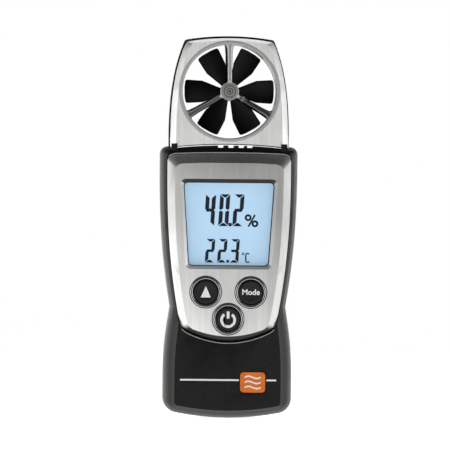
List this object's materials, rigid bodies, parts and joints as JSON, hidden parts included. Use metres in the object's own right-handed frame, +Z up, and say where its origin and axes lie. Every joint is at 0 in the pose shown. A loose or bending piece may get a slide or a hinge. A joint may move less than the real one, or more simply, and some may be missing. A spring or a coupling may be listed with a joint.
{
  "type": "vane anemometer",
  "caption": "Pocket vane anemometer: waisted two-shell body, silver front panel with backlit display and round keys, ducted wind wheel in the head.",
  "frame": {"origin": "middle of the lowest edge: the bottom centre of the bounding box", "axes": "+Z up the length of the instrument, +X to the right of a user who looks at the display, -Y out of the front"},
  "size_m": [0.046, 0.0246, 0.128],
  "materials": {
    "charcoal": "fine moulded texture, charcoal",
    "silver": "brushed silver lacquer",
    "button_chrome": "bright plated",
    "button_black": "satin black with white symbols",
    "wheel_black": "smooth black",
    "window": "clear",
    "lcd": "backlit display, pale blue",
    "white_plastic": "plain white",
    "board": "circuit board green",
    "chip": "black",
    "rubber": "matt",
    "steel": "plain",
    "contact": "nickel plated",
    "cell": "plain jacket",
    "badge": "amber lacquer"
  },
  "bodies": {
    "instrument": {"front_shell": "charcoal", "rear_shell": "charcoal", "neck_collar": "charcoal", "head_rear_cover": "charcoal", "rear_guard": "charcoal", "front_panel": "silver", "head_front_cover": "silver", "front_guard": "silver", "front_hub_cap": "silver", "ring_up": "button_chrome", "ring_mode": "button_chrome", "ring_power": "button_chrome", "display_window": "window", "lcd_glass": "lcd", "lcd_frame": "white_plastic", "lcd_backlight": "white_plastic", "humidity_sensor": "white_plastic", "main_board": "board", "sensor_board": "board", "processor_chip": "chip", "temperature_sensor": "chip", "speed_sensor": "chip", "keypad_mat": "rubber", "contact_strip": "rubber", "head_lead": "rubber", "rear_screw_1": "steel", "rear_screw_2": "steel", "rear_screw_3": "steel", "rear_screw_4": "steel", "crystal_can": "steel", "switch_up": "steel", "switch_mode": "steel", "switch_power": "steel", "bridge_contact": "contact", "plate_contact": "contact", "spring_contact": "contact", "front_bearing": "contact", "rear_bearing": "contact", "battery_left": "cell", "battery_right": "cell", "front_badge": "badge"},
    "wheel": {"impeller": "wheel_black", "impeller_shaft": "steel", "impeller_magnet": "steel"},
    "up_key": {"button_up": "button_black"},
    "mode_key": {"button_mode": "button_black"},
    "power_key": {"button_power": "button_black"},
    "cover": {"battery_cover": "charcoal"}
  },
  "joints": [
    {"name": "wheel_spin", "type": "hinge", "parent": "instrument", "child": "wheel", "pos_m": [0, 0.0004, 0.1094], "axis": [0, 1, 0], "continuous": true},
    {"name": "up_press", "type": "slide", "parent": "instrument", "child": "up_key", "axis": [0, 1, 0], "range_m": [0, 0.0006], "stiffness_N_per_m": 500},
    {"name": "mode_press", "type": "slide", "parent": "instrument", "child": "mode_key", "axis": [0, 1, 0], "range_m": [0, 0.0006], "stiffness_N_per_m": 500},
    {"name": "power_press", "type": "slide", "parent": "instrument", "child": "power_key", "axis": [0, 1, 0], "range_m": [0, 0.0006], "stiffness_N_per_m": 500},
    {"name": "cover_slide", "type": "slide", "parent": "instrument", "child": "cover", "axis": [0, 0, -1], "range_m": [0, 0.05]}
  ]
}
